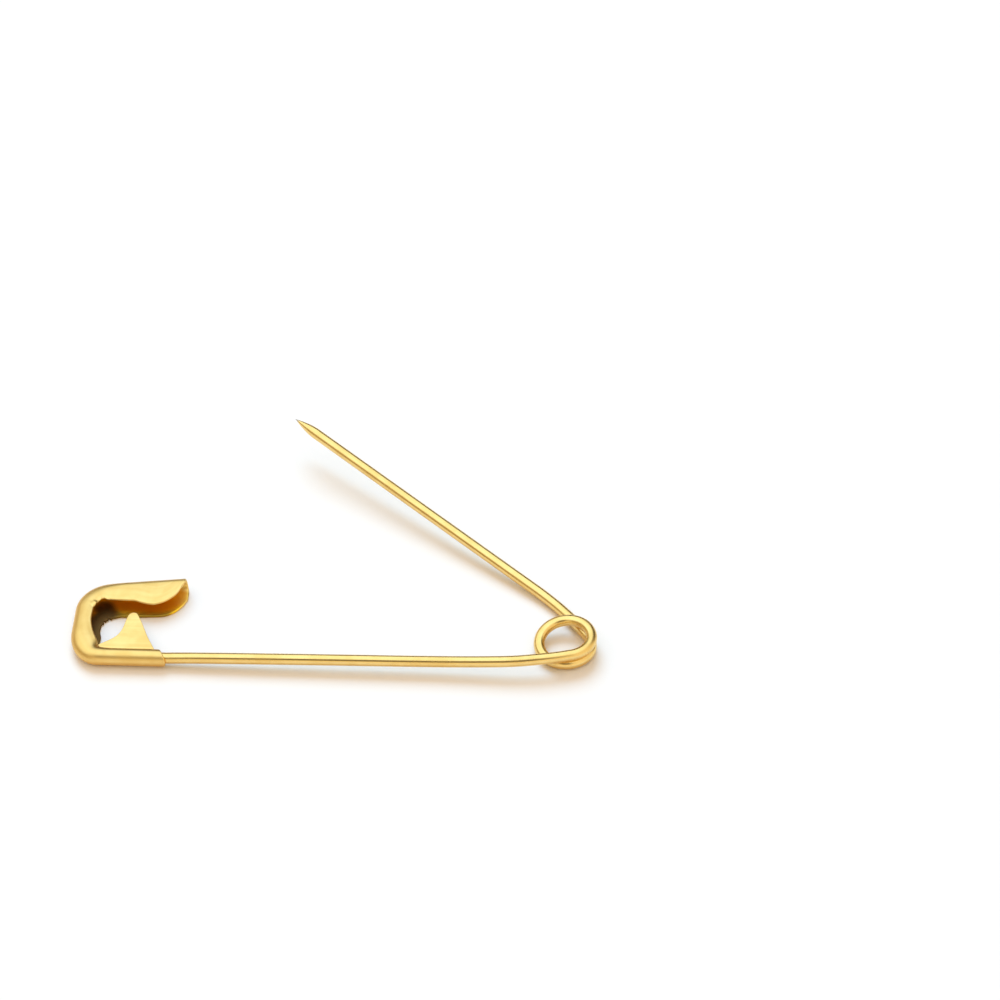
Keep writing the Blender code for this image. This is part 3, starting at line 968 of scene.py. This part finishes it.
    def leaf(self, edge: Array, start: Array, curl: Array, radius: Array,
             rise: float) -> tuple[Array, Array]:
        """Draw one leaf from its cut edge in to the fold.

        Each row is an arc of the curl's angle, so its length is its reach times curl over sin
        curl. Where the arc has a part a of that angle left to the fold, it is sin a over sin curl
        of the reach away, and has dropped by (1 - cos a) over sin curl of it.

        Args:
            edge: The cut edge in plan, one row for each station.
            start: Where the leaf leaves the fold, in plan.
            curl: The arc's angle at each station.
            radius: The fold's radius at each station.
            rise: 1 for the front leaf, above the fold's centre, or -1 for the back leaf below it.

        Returns:
            The leaf's points, and their distances in from the cut edge.
        """
        reach = edge - start
        span = np.linalg.norm(reach, axis=1)
        length = span * curl / np.sin(curl)
        inset = np.concatenate([
            np.minimum(self.rim_distances()[None, :-1], 0.5 * length[:, None]),
            self.half + (length - self.half)[:, None] * np.linspace(0.0, 1.0, self.leaf_steps),
        ], axis=1)
        angle = curl[:, None] * (1.0 - inset / length[:, None])
        along = np.sin(angle) / np.sin(curl)[:, None]
        drop = span[:, None] * (1.0 - np.cos(angle)) / np.sin(curl)[:, None]
        plan = start[:, None, :] + reach[:, None, :] * along[..., None]
        height = (radius + self.half)[:, None] + rise * (radius[:, None] - drop)
        return with_height(plan, height), inset

    def fold(self, axis: Array, out: Array, radius: Array, pillow: Array) -> Array:
        """Draw the fold: half a circle, whose front quarter is stretched inwards to an ellipse.

        Args:
            axis: The fold's centre in plan, at each station.
            out: The direction out of the cap.
            radius: The fold's radius.
            pillow: How far the front quarter is stretched.

        Returns:
            The fold's points between the two leaves.
        """
        angle = np.linspace(math.pi / 2, -math.pi / 2, self.fold_steps + 1)[1:-1]
        stretch = np.where(angle > 0.0, 1.0, 0.0) * pillow[:, None]
        outwards = (radius[:, None] + stretch) * np.cos(angle) - stretch
        plan = axis[:, None, :] + out[:, None, :] * outwards[..., None]
        return with_height(plan, (radius + self.half)[:, None] + radius[:, None] * np.sin(angle))

    def middle_surface(self) -> tuple[Array, Array, Array, Array]:
        """Carry the cap's section along the U path.

        A section is the front leaf from its edge to the fold, the fold, and the back leaf. The
        back leaf is flat where the cap is open, and both curl in where it closes to the crimp.

        Returns:
            The middle surface as a grid, half the wall's thickness, the distance in from the
            nearest cut edge, and which leaf a point is on: -1 for the front leaf, 0 for the fold
            and 1 for the back leaf.
        """
        places = self.stations()
        axis, out = self.path(places)
        rows = self.edges(places)
        front, back, closed = rows[:, 0:2], rows[:, 2:4], rows[:, 4]
        corner = self.corner_window(places)
        for edge, line in ((front, self.ragged_front), (back, self.ragged_back)):
            steps = np.linalg.norm(np.diff(edge, axis=0, prepend=edge[:1]), axis=1)
            ragged = line.read(np.cumsum(steps)) * corner * line.height
            edge += unit(edge - axis) * ragged[:, None]
        radius = self.fold_radius + (self.crimp_radius - self.fold_radius) * closed
        back_curl = np.maximum(self.crimp_curl * closed, self.least_curl)
        soft = self.pillow_window(places) * (1.0 - closed)
        front_curl = back_curl + self.leaf_curl + (self.pillow_curl - self.leaf_curl) * soft
        front_curl -= self.leaf_curl * closed
        pillow = self.pillow * soft
        crest = axis - out * pillow[:, None]
        front_grid, front_inset = self.leaf(front, crest, front_curl, radius, 1.0)
        back_grid, back_inset = self.leaf(back, axis, back_curl, radius, -1.0)
        fold = self.fold(axis, out, radius, pillow)
        grid = self.slanted(np.concatenate([front_grid, fold, back_grid[:, ::-1]], axis=1))
        deep = np.full(fold.shape[:2], self.spread)
        inset = np.concatenate([front_inset, deep, back_inset[:, ::-1]], axis=1)
        side = np.concatenate([np.full(front_inset.shape, -1.0), np.zeros(deep.shape),
                               np.full(back_inset.shape, 1.0)], axis=1)
        ends = np.minimum(places, places[-1] - places)[:, None]
        wall = np.minimum(self.rim_wall(inset), self.rim_wall(ends))
        mouth = smoothstep(1.0 - places / self.mouth_reach)[:, None]
        level = grid[..., 2] / (radius[0] + self.half)
        grid[..., 0] += self.mouth_slant * mouth * (1.0 - level) / 2.0
        return grid, wall, np.minimum(inset, ends), side

    def window(self, places: Array, start: float, end: float, ease: float) -> Array:
        """Return 1 between two distances along the path, easing to 0 inside of both."""
        return smoothstep((places - start) / ease) * smoothstep((end - places) / ease)

    def pillow_window(self, places: Array) -> Array:
        """Return 1 where the cap is pillowed, round its left end, easing to 0 along the legs."""
        start = self.distance(CapPart.NEEDLE_LEG, self.pillow_from)
        return self.window(places, start, self.distance(CapPart.CRIMP_LEG, 0.0), self.pillow_ease)

    def corner_window(self, places: Array) -> Array:
        """Mark the pinched inner corner of the window.

        Args:
            places: Distances from the mouth.

        Returns:
            1 along the corner, easing to 0 on both sides.
        """
        start = self.distance(CapPart.NEEDLE_LEG, self.corner_from)
        end = self.distance(CapPart.SIDE, self.corner_to)
        return self.window(places, start, end, self.corner_ease)

    def slanted(self, grid: Array) -> Array:
        """Cut the crimp's end at a slant, further in towards the tongue.

        A point moves in by its share of the crimp's leg times the slant times its height in plan,
        which is counted in radii from the leg's outer side.

        Args:
            grid: The middle surface.

        Returns:
            The moved grid.
        """
        start_x = self.corners()[2][0]
        share = np.clip((grid[..., 0] - start_x) / (self.crimp_length - start_x), 0.0, 1.0)
        across = grid[..., 1] / self.crimp_radius
        slant = np.where(across < self.slant_reach, share * self.crimp_slant * (1.0 + across), 0.0)
        return grid - slant[..., None] * np.array([1.0, 0.0, 0.0])

    def wrinkled(self, grid: Array, inset: Array, side: Array, normal: Array) -> Array:
        """Push the sheet in and out where the corner was pinched as it was folded.

        The height is a ripple along the path, stronger in some places than in others, that dies
        off exponentially with the distance from the cut edge. The back leaf is only pushed up. On
        the front leaf a small blister in a groove is added, (1 - q) exp(-q) where q is the squared
        share of its reach.

        Args:
            grid: The middle surface.
            inset: The distance in from the nearest cut edge.
            side: Which leaf a point is on.
            normal: The surface's outward directions.

        Returns:
            The moved grid.
        """
        places = self.stations()
        crease = self.wrinkles.read(places) * self.corner_window(places)
        uneven = self.wrinkle_strength.read(places)
        crease *= self.wrinkle_base + (1.0 - self.wrinkle_base) * uneven
        depth = np.exp(-inset / self.wrinkle_reach) * (side != 0.0)
        height = self.wrinkles.height * crease[:, None] * depth
        share = ((grid[..., :2] - self.pinch_place) ** 2).sum(axis=2) / self.pinch_reach ** 2
        blister = self.pinch_height * (1.0 - share) * np.exp(-share)
        height = np.where(side > 0.0, -np.abs(height), height + blister * (side < 0.0))
        return grid + normal * height[..., None]

    def build(self, groups: GroupSet) -> bpy.types.Object:
        """Build the cap as one closed shell and dress it.

        Its outer and inner wall are the middle surface moved out and in by half the wall, and
        they share the vertices of the cut edges, where the wall has no thickness.

        Args:
            groups: The shared shader groups.

        Returns:
            The cap.
        """
        grid, wall, inset, side = self.middle_surface()
        normal = -unit(np.cross(np.gradient(grid, axis=0), np.gradient(grid, axis=1)))
        grid = self.wrinkled(grid, inset, side, normal)
        apart = np.zeros(wall.shape, dtype=bool)
        apart[1:-1, 1:-1] = True

        def both(outer: Array, inner: Array) -> Array:
            """Join the outer wall's rows to the inner wall's own rows."""
            return np.concatenate([outer.reshape(-1, *outer.shape[2:]), inner[apart]])

        outer_index = np.arange(wall.size).reshape(wall.shape)
        inner_index = outer_index.copy()
        inner_index[apart] = wall.size + np.arange(apart.sum())
        shell = both(grid + normal * wall[..., None], grid - normal * wall[..., None])
        faces = [grid_faces(outer_index)[:, ::-1], grid_faces(inner_index)]
        steps = np.linalg.norm(np.diff(grid, axis=1, prepend=grid[:, :1]), axis=2)
        around = np.cumsum(steps, axis=1)
        along = np.broadcast_to(self.stations()[:, None], around.shape)
        blank = np.stack([along, around, np.zeros(around.shape)], axis=-1) / MM
        # Edge darkens the gold near cut edges; on the outer wall it also carries the painted fold
        # shade.
        edge = self.edge_tone * np.exp(-inset / (self.edge_reach * self.half))
        # Painted shade: the whole inner wall, and on the outer wall only the back leaf's rim.
        shade = self.shade_inside(grid, inset, side)
        back_rim_shade = shade * (side > 0.0) * (1.0 - smoothstep(inset / self.rim_reach))
        values = {
            "unbent": both(blank, blank),
            "edge": both(np.maximum(edge, self.paint_fold_shade(around)), edge),
            "shade": both(back_rim_shade, shade),
        }
        cap = make_object("cap_shell", self.drawing.place(shell), faces, self.sharp_angle, values)
        finish = GoldFinish("stamped_gold_cap", GrainFollows.BEND, roughness=0.33,
                            grain_along=0.22, grain_across=7.0, grain_height=0.0022 * MM)
        cap.data.materials.append(finish.material(groups))
        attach(cap, "cap_and_coil")
        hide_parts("cap")
        return cap

    def paint_fold_shade(self, around: Array) -> Array:
        """Work out the painted shade that deepens the gold round the fold's outer flank.

        The painted shade is the cube of the sine of the turn, and stronger where the cap is
        pillowed.

        Args:
            around: How far each point is from the front edge, along its section.

        Returns:
            The painted shade at each point.
        """
        middle = around.shape[1] // 2
        from_fold = around - around[:, middle:middle + 1]
        turn = np.clip(from_fold / (2 * np.pi * self.fold_radius) + 0.5, 0.0, 1.0)
        strength = self.fold_shade + self.pillow_shade * self.pillow_window(self.stations())
        return strength[:, None] * np.sin(np.pi * turn) ** 3

    def shade_inside(self, grid: Array, inset: Array, side: Array) -> Array:
        """Work out the painted shade on the channel's inner wall.

        The painted shade is darkest along a bent line down from the pinched corner, darker than
        the rest near the back leaf's edge, and palest at the mouth and on the front leaf's
        cut edge.

        Args:
            grid: The middle surface.
            inset: The distance in from the nearest cut edge.
            side: Which leaf a point is on.

        Returns:
            The painted shade at each point, from 0 to 1.
        """
        away = np.full(side.shape, self.spread)
        for start, end in zip(self.dark_line[:-1], self.dark_line[1:]):
            first, step = np.array(start), np.array(end) - np.array(start)
            offset = grid[..., :2] - first
            share = np.clip((offset @ step) / (step @ step), 0.0, 1.0)
            away = np.minimum(away, np.linalg.norm(offset - share[..., None] * step, axis=2))
        dark = 1.0 - smoothstep((away - self.dark_core) / self.dark_fade)
        mouth = smoothstep(1.0 - self.stations() / self.pale_reach)[:, None]
        brink = smoothstep(1.0 - inset / self.brink_reach) * (side > 0.0) * (1.0 - dark)
        rim = (1.0 - smoothstep(inset / self.rim_reach)) * np.maximum(mouth, side < 0.0)
        shade = self.hollow_shade + self.dark_shade * dark + self.brink_shade * brink
        shade *= 1.0 - self.mouth_paleness * mouth
        return shade * (1.0 - rim * (1.0 - self.rim_paleness * dark))


@dataclass(frozen=True)
class Tongue:
    """The guard tongue, a tab of the same sheet that stands up from the crimp."""

    drawing: Drawing
    start: float = 3.05 * MM
    width: float = 5.85 * MM
    height: float = 5.10 * MM
    foot: float = 0.905 * MM
    level: float = 0.95 * MM
    sheet: float = 0.27 * MM
    lean: float = math.radians(3)
    rim: float = 0.05 * MM
    root_drop: float = 0.26 * MM
    root_reach: float = 0.34 * MM
    centre_share: tuple[float, float] = (0.55, 0.30)
    outline_points: int = 400
    softening: int = 16
    corner_steps: int = 5
    rings: int = 12
    ring_spacing: float = 1.7
    sharp_angle: float = math.radians(40)

    def outline(self) -> Array:
        """Read the outline evenly along a closed monotone curve and soften its corners.

        Returns:
            The outline's points, each averaged a few times with its neighbours, 1 2 1.
        """
        shares = np.array(TONGUE_SHARES + TONGUE_SHARES[:1])
        points = np.array([self.start, self.foot]) + shares * np.array([self.width, self.height])
        steps = np.linalg.norm(np.diff(points, axis=0), axis=1)
        knots = np.concatenate([[0.0], np.cumsum(steps)])
        places = np.linspace(0.0, knots[-1], self.outline_points, endpoint=False)
        outline = through_points(knots, points, places)
        closed = np.concatenate([outline, outline[:1]])
        run = np.concatenate([[0.0], np.cumsum(np.linalg.norm(np.diff(closed, axis=0), axis=1))])
        even = np.linspace(0.0, run[-1], self.outline_points, endpoint=False)
        outline = np.column_stack([np.interp(even, run, closed[:, i]) for i in range(2)])
        for _ in range(self.softening):
            before, after = np.roll(outline, 1, axis=0), np.roll(outline, -1, axis=0)
            outline = (before + 2.0 * outline + after) / 4.0
        return outline

    def build(self, groups: GroupSet) -> bpy.types.Object:
        """Carry a rounded wall round the outline and close both faces to a pole.

        A ring is the outline moved in by the rim's inset and set at the rim's height. Past the
        rim the rings shrink towards the centre, close together at first. The whole plate leans up
        to its tip, and its foot bends down into the crimp by a parabola.

        Args:
            groups: The shared shader groups.

        Returns:
            The tongue.
        """
        outline = self.outline()
        ahead = np.roll(outline, -1, axis=0) - np.roll(outline, 1, axis=0)
        inward = unit(np.column_stack([ahead[:, 1], -ahead[:, 0]]))
        centre = np.array([self.start, self.foot]) + np.array(self.centre_share) * np.array(
            [self.width, self.height])
        inward *= np.sign(((centre - outline) * inward).sum(axis=1).mean())
        half = self.sheet / 2
        angle = np.linspace(0.0, math.pi / 2, self.corner_steps)
        inset = self.rim * (1.0 - np.sin(angle[::-1]))
        lift = half - self.rim + self.rim * np.cos(angle[::-1])
        upper = [np.column_stack([outline + inward * d, np.full(len(outline), self.level + z)])
                 for d, z in zip(inset, lift)]
        share = np.linspace(0.0, 1.0, self.rings + 1)[1:-1] ** self.ring_spacing
        edge = upper[-1][:, 0:2]
        upper += [np.column_stack([edge + (centre - edge) * s, upper[-1][:, 2]]) for s in share]
        upper_rings = np.array(upper)
        lower_rings = upper_rings * [1.0, 1.0, -1.0] + [0.0, 0.0, 2.0 * self.level]
        rings = np.concatenate([lower_rings[::-1], upper_rings])
        poles = np.array([[*centre, self.level - half], [*centre, self.level + half]])
        vertices = np.concatenate([rings.reshape(-1, 3), poles])
        rise = vertices[:, 1] - self.foot
        bent = np.clip(1.0 - rise / self.root_reach, 0.0, 1.0)
        vertices[:, 2] += rise * math.tan(self.lean) - self.root_drop * bent ** 2
        tongue = make_object("guard_tongue_plate", self.drawing.place(vertices),
                             tube_faces(*rings.shape[:2]), self.sharp_angle, {})
        finish = GoldFinish("stamped_gold_tongue", GrainFollows.PLATE, roughness=0.28,
                            grain_along=0.35, grain_across=15.0, grain_height=0.0012 * MM)
        tongue.data.materials.append(finish.material(groups))
        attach(tongue, "cap_and_coil")
        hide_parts("guard_tongue")
        return tongue


@dataclass(frozen=True)
class Studio:
    """The white table, the soft light and the camera at the photograph's angle."""

    target: tuple[float, float, float] = (35.70 * MM, 17.73 * MM, 0.0)
    camera_distance: float = 350.0 * MM
    camera_elevation: float = math.radians(42.6)
    camera_azimuth: float = math.radians(-2.06)
    focal_pixels: float = 3261.0
    frame_pixels: float = 1000.0
    sensor: float = 36.0
    clip_start: float = 0.01
    floor_size: float = 6.0
    floor_colour: Rgb = (0.96, 0.96, 0.96)
    floor_roughness: float = 0.9
    key_azimuth: float = math.radians(166)
    key_elevation: float = math.radians(44)
    key_distance: float = 4.0
    key_size: float = 2.8
    key_level: Rgb = (0.235, 0.42, 0.595)
    sky_azimuth: float = math.radians(152)
    sky_elevation: float = math.radians(74)
    sky_inner: float = math.radians(33)
    sky_outer: float = math.radians(53)
    sky_left_share: float = 0.15
    sky_high: Rgb = (1.16, 0.95, 0.76)
    sky_dim: Rgb = (0.10, 0.07, 0.03)
    left_band: tuple[float, float] = (-0.20, -0.70)
    left_level: Rgb = (0.51, 0.40, 0.22)
    front_slope: float = -0.45
    front_band: tuple[float, float] = (0.35, -0.25)
    front_high: Rgb = (0.68, 0.58, 0.46)
    shine_high: Rgb = (1.36, 1.54, 1.64)
    shine_front: Rgb = (1.08, 0.99, 0.80)
    spot_inner: float = math.radians(7)
    spot_outer: float = math.radians(25)

    def back(self, azimuth: float, elevation: float) -> Vector:
        """Return the direction from the target to a camera or lamp at these angles."""
        level, rise = math.cos(elevation), math.sin(elevation)
        return Vector((-math.sin(azimuth) * level, -math.cos(azimuth) * level, rise))

    def build(self) -> None:
        """Make the floor, the sky, the key lamp and the camera."""
        self.make_floor()
        self.make_sky()
        self.make_key()
        self.make_camera()

    def make_floor(self) -> None:
        """Lay a plain white floor under the pin."""
        reach = self.floor_size / 2
        corners = reach * np.array([[-1, -1, 0], [1, -1, 0], [1, 1, 0], [-1, 1, 0]])
        floor = make_object("floor", corners, [np.array([[0, 1, 2, 3]])], math.pi, {})
        material = bpy.data.materials.new("white_table")
        material.use_nodes = True
        Nodes(material.node_tree).put(
            material.node_tree.nodes["Principled BSDF"], Base_Color=self.floor_colour,
            Roughness=self.floor_roughness, Specular_IOR_Level=0.0)
        floor.data.materials.append(material)

    def make_sky(self) -> None:
        """Light the scene from a soft warm patch overhead that reaches down to the left.

        Below it a warm glow lies in front, fainter to the left, and the far side is nearly dark,
        which gives the metal its dark edges. The metal also shows a dark spot where the camera
        stands, and the patch and the glow in it are whiter than the light they shed on the table.
        """
        world = bpy.data.worlds.new("studio")
        world.use_nodes = True
        bpy.context.scene.world = world
        nodes = Nodes(world.node_tree)
        direction = nodes.add("ShaderNodeTexCoord").outputs["Generated"]
        glossy = nodes.add("ShaderNodeLightPath").outputs["Is Glossy Ray"]
        parts = nodes.add("ShaderNodeSeparateXYZ", in_0=direction).outputs

        def nearness(azimuth: float, elevation: float) -> Socket:
            """Return the cosine of the angle between the sky's direction and this one."""
            return nodes.add("ShaderNodeVectorMath", {"operation": "DOT_PRODUCT"}, in_0=direction,
                             in_1=self.back(azimuth, elevation)).outputs["Value"]

        left = nodes.ramp(parts["X"], *self.left_band)
        across = nodes.math("MULTIPLY_ADD", parts["X"], self.front_slope, parts["Y"])
        front = nodes.ramp(across, *self.front_band)
        towards = nodes.math("MULTIPLY_ADD", left, self.sky_left_share,
                             nearness(self.sky_azimuth, self.sky_elevation))
        patch = nodes.ramp(towards, math.cos(self.sky_outer), math.cos(self.sky_inner))
        high = nodes.blend(glossy, self.sky_high, self.shine_high)
        near = nodes.blend(glossy, self.front_high, self.shine_front)
        low = nodes.blend(left, nodes.blend(front, self.sky_dim, near), self.left_level)
        spot = nodes.ramp(nearness(self.camera_azimuth, self.camera_elevation),
                          math.cos(self.spot_outer), math.cos(self.spot_inner))
        colour = nodes.blend(nodes.math("MULTIPLY", spot, glossy),
                             nodes.blend(patch, low, high), self.sky_dim)
        nodes.put(world.node_tree.nodes["Background"], Color=colour)

    def hang(self, name: str, data: bpy.types.ID, away: Vector,
             distance: float) -> bpy.types.Object:
        """Set up a lamp or a camera that faces the target.

        Args:
            name: The object's name.
            data: The lamp or the camera.
            away: The direction from the target to it.
            distance: How far away it is.

        Returns:
            The object, linked to the scene.
        """
        obj = bpy.data.objects.new(name, data)
        obj.location = Vector(self.target) + away * distance
        obj.rotation_mode = "QUATERNION"
        obj.rotation_quaternion = away.to_track_quat("Z", "Y")
        bpy.context.scene.collection.objects.link(obj)
        return obj

    def make_key(self) -> None:
        """Add the round soft lamp behind the pin that casts its shadow on the table.

        Its face's brightness is the key's level on the table over the share of the sky that the
        lamp fills there. Its energy is that brightness times pi squared and its radius squared.
        """
        radius = self.key_size / 2
        spread = (radius / self.key_distance) ** 2 * math.sin(self.key_elevation)
        brightest = max(self.key_level)
        light = bpy.data.lights.new("key", "AREA")
        light.shape = "DISK"
        light.size = self.key_size
        light.color = [part / brightest for part in self.key_level]
        light.energy = brightest / spread * math.pi ** 2 * radius ** 2
        away = self.back(self.key_azimuth, self.key_elevation)
        key = self.hang("key", light, away, self.key_distance)
        key.visible_camera = False
        key.visible_glossy = False

    def make_camera(self) -> None:
        """Set the camera where the photograph was taken from."""
        data = bpy.data.cameras.new("camera")
        data.sensor_width = self.sensor
        data.lens = self.focal_pixels / self.frame_pixels * self.sensor
        data.clip_start = self.clip_start
        away = self.back(self.camera_azimuth, self.camera_elevation)
        camera = self.hang("camera", data, away, self.camera_distance)
        bpy.context.scene.camera = camera


def main() -> None:
    """Build the pin, the table, the light and the camera."""
    logging.basicConfig(level=logging.INFO, format="%(name)s: %(message)s")
    bpy.context.scene.view_settings.view_transform = "Standard"
    drawing = Drawing.from_frame()
    groups = GroupSet.build()
    Studio().build()
    pieces = [*Wire(drawing).build(groups), Cap(drawing).build(groups),
              Tongue(drawing).build(groups)]
    for piece in pieces:
        LOG.info("%s: %d faces", piece.name, len(piece.data.polygons))
    bpy.context.view_layer.update()


if __name__ == "__main__":
    main()
